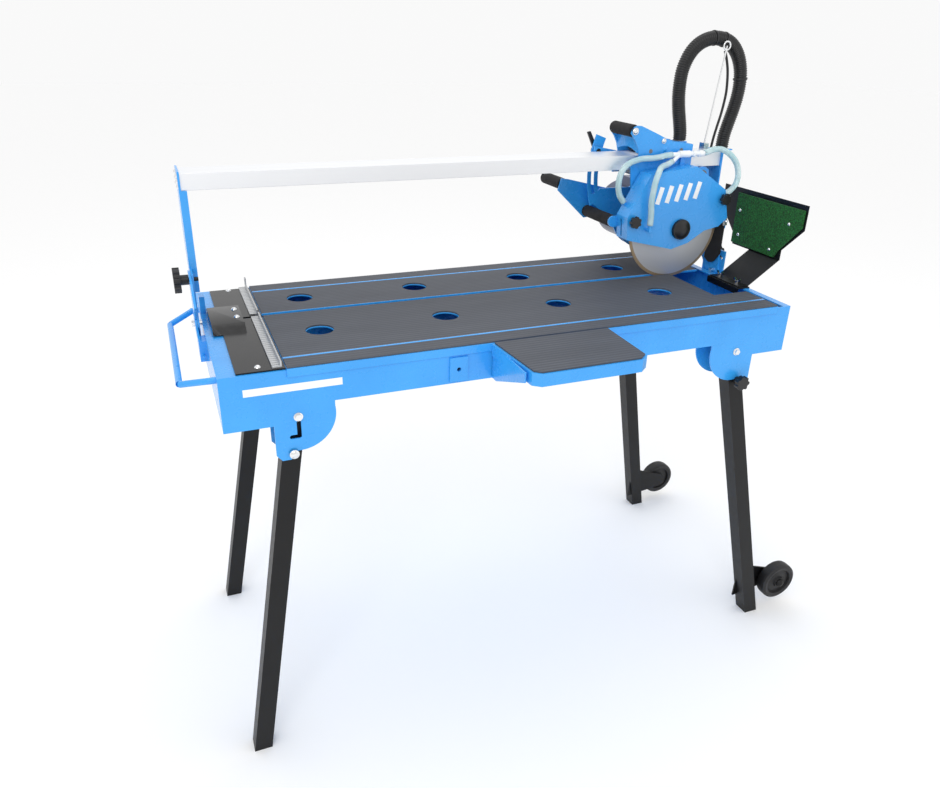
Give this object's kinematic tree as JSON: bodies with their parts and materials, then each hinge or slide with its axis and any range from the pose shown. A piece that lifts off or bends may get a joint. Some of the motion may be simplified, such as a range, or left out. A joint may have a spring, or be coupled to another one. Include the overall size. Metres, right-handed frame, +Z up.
{
  "type": "tile cutter",
  "caption": "Bridge wet tile cutter: folding-leg trough table with ribbed mats, tilting rail, sliding saw head, plunge arm and diamond blade.",
  "frame": {"origin": "on the floor under the middle of the machine's box", "axes": "+X along the rail towards the wheels and splash guard, +Y away from the operator, +Z up"},
  "size_m": [1.469, 0.7245, 1.4029],
  "materials": {
    "blue_enamel": "gloss stove enamel on folded steel sheet",
    "dark_enamel": "satin enamel on steel and cast housings",
    "black_steel": "black powder coat on steel",
    "black_plastic": "moulded black plastic",
    "rubber": "ribbed or foamed rubber",
    "aluminium": "anodised extrusion",
    "steel": "zinc plated",
    "blade_steel": "ground steel core with a diamond rim",
    "green_board": "textured splash board",
    "white_plastic": "moulded fitting",
    "clear_tube": "clear vinyl tube",
    "conduit": "corrugated black conduit"
  },
  "bodies": {
    "frame": {"tray": "blue_enamel", "table_top": "blue_enamel", "rubber_mats": "rubber", "side_table": "blue_enamel", "end_cover": "black_steel", "fence_rule": "aluminium", "table_fasteners": "steel", "carry_handle": "blue_enamel", "left_leg_brackets": "blue_enamel", "right_leg_brackets": "blue_enamel", "leg_pivot_bolts": "steel", "tilt_bracket_left": "blue_enamel", "tilt_bracket_right": "blue_enamel", "tilt_pivot_bolts": "steel", "splash_base": "black_steel", "splash_guard": "black_steel", "splash_board": "green_board", "water_pump": "black_plastic", "drain_plug": "rubber"},
    "leg_front_left": {"front_left_leg": "black_steel"},
    "leg_rear_left": {"rear_left_leg": "black_steel"},
    "leg_front_right": {"front_right_leg": "black_steel"},
    "leg_rear_right": {"rear_right_leg": "black_steel"},
    "lock_knob_front": {"front_lock_knob": "black_plastic"},
    "lock_knob_rear": {"rear_lock_knob": "black_plastic"},
    "wheel_front": {"front_wheel": "rubber"},
    "wheel_rear": {"rear_wheel": "rubber"},
    "bridge": {"rail": "aluminium", "left_post": "blue_enamel", "right_post": "blue_enamel", "rail_end_bolts": "steel", "hose_mast": "steel", "hose_loop": "conduit", "control_cable": "conduit"},
    "tilt_knob_l": {"tilt_knob_left": "black_plastic"},
    "tilt_knob_r": {"tilt_knob_right": "black_plastic"},
    "carriage": {"carriage_frame": "blue_enamel", "top_grip": "rubber", "lower_guides": "steel", "plunge_axle": "steel"},
    "roller_l": {"left_roller": "steel"},
    "roller_r": {"right_roller": "steel"},
    "lever": {"depth_lever": "black_plastic"},
    "head": {"head_arm": "blue_enamel", "rear_arm": "dark_enamel", "motor_housing": "dark_enamel", "motor_end_cover": "dark_enamel", "guard_cover": "blue_enamel", "hub_cap": "black_plastic", "handle_arm": "dark_enamel", "lower_grips": "rubber", "splash_flap": "rubber", "water_fitting": "white_plastic", "left_water_tube": "clear_tube", "front_water_tube": "clear_tube", "right_water_tube": "clear_tube"},
    "knob_guard_l": {"guard_knob_left": "black_plastic"},
    "knob_guard_r": {"guard_knob_right": "black_plastic"},
    "saw_arbor": {"arbor": "steel", "blade": "blade_steel"}
  },
  "joints": [
    {"name": "front_left_fold", "type": "hinge", "parent": "frame", "child": "leg_front_left", "pos_m": [-0.5365, -0.15625, 0.754], "axis": [0, -1, 0], "range_deg": [0, 91]},
    {"name": "rear_left_fold", "type": "hinge", "parent": "frame", "child": "leg_rear_left", "pos_m": [-0.5365, 0.26775, 0.754], "axis": [0, -1, 0], "range_deg": [0, 91]},
    {"name": "front_right_fold", "type": "hinge", "parent": "frame", "child": "leg_front_right", "pos_m": [0.4395, -0.16625, 0.754], "axis": [0, 1, 0], "range_deg": [0, 102.5]},
    {"name": "rear_right_fold", "type": "hinge", "parent": "frame", "child": "leg_rear_right", "pos_m": [0.4395, 0.27775, 0.754], "axis": [0, 1, 0], "range_deg": [0, 102.5]},
    {"name": "front_knob_turn", "type": "hinge", "parent": "leg_front_right", "child": "lock_knob_front", "pos_m": [0.45552, -0.19425, 0.68175], "axis": [0, 1, 0], "range_deg": [0, 360]},
    {"name": "rear_knob_turn", "type": "hinge", "parent": "leg_rear_right", "child": "lock_knob_rear", "pos_m": [0.45552, 0.30575, 0.68175], "axis": [0, 1, 0], "range_deg": [0, 360]},
    {"name": "front_wheel_spin", "type": "hinge", "parent": "leg_front_right", "child": "wheel_front", "pos_m": [0.6835, -0.22425, 0.076], "axis": [0, 1, 0], "continuous": true},
    {"name": "rear_wheel_spin", "type": "hinge", "parent": "leg_rear_right", "child": "wheel_rear", "pos_m": [0.6835, 0.33575, 0.076], "axis": [0, 1, 0], "continuous": true},
    {"name": "bridge_tilt", "type": "hinge", "parent": "frame", "child": "bridge", "pos_m": [-0.0485, 0.09475, 0.85], "axis": [1, 0, 0], "range_deg": [0, 45]},
    {"name": "left_tilt_knob_turn", "type": "hinge", "parent": "bridge", "child": "tilt_knob_l", "pos_m": [-0.6985, 0.09475, 0.94], "axis": [1, 0, 0], "range_deg": [0, 360]},
    {"name": "right_tilt_knob_turn", "type": "hinge", "parent": "bridge", "child": "tilt_knob_r", "pos_m": [0.5965, 0.10575, 0.89053], "axis": [1, 0, 0], "range_deg": [0, 360]},
    {"name": "carriage_slide", "type": "slide", "parent": "bridge", "child": "carriage", "axis": [1, 0, 0], "range_m": [-0.86, 0], "deforming": ["hose_loop"]},
    {"name": "left_roller_turn", "type": "hinge", "parent": "carriage", "child": "roller_l", "pos_m": [0.3665, 0.16575, 1.1453], "axis": [0, 1, 0], "range_deg": [-5500, 0]},
    {"name": "right_roller_turn", "type": "hinge", "parent": "carriage", "child": "roller_r", "pos_m": [0.4515, 0.16575, 1.1453], "axis": [0, 1, 0], "range_deg": [-5500, 0]},
    {"name": "depth_lever_turn", "type": "hinge", "parent": "carriage", "child": "lever", "pos_m": [0.28185, 0.22575, 1.13594], "axis": [0, 1, 0], "range_deg": [0, 80]},
    {"name": "plunge", "type": "hinge", "parent": "carriage", "child": "head", "pos_m": [0.5215, 0.16575, 1.085], "axis": [0, 1, 0], "range_deg": [0, 21]},
    {"name": "left_guard_knob_turn", "type": "hinge", "parent": "head", "child": "knob_guard_l", "pos_m": [0.3065, 0.06075, 0.996], "axis": [0, 1, 0], "range_deg": [0, 360]},
    {"name": "right_guard_knob_turn", "type": "hinge", "parent": "head", "child": "knob_guard_r", "pos_m": [0.5545, 0.06075, 1.036], "axis": [0, 1, 0], "range_deg": [0, 360]},
    {"name": "blade_spin", "type": "hinge", "parent": "head", "child": "saw_arbor", "pos_m": [0.4405, 0.09475, 0.97], "axis": [0, 1, 0], "continuous": true}
  ],
  "couplings": [
    {"joint": "left_roller_turn", "follows": "carriage_slide", "rad_per_m": 111.11},
    {"joint": "right_roller_turn", "follows": "carriage_slide", "rad_per_m": 111.11}
  ]
}
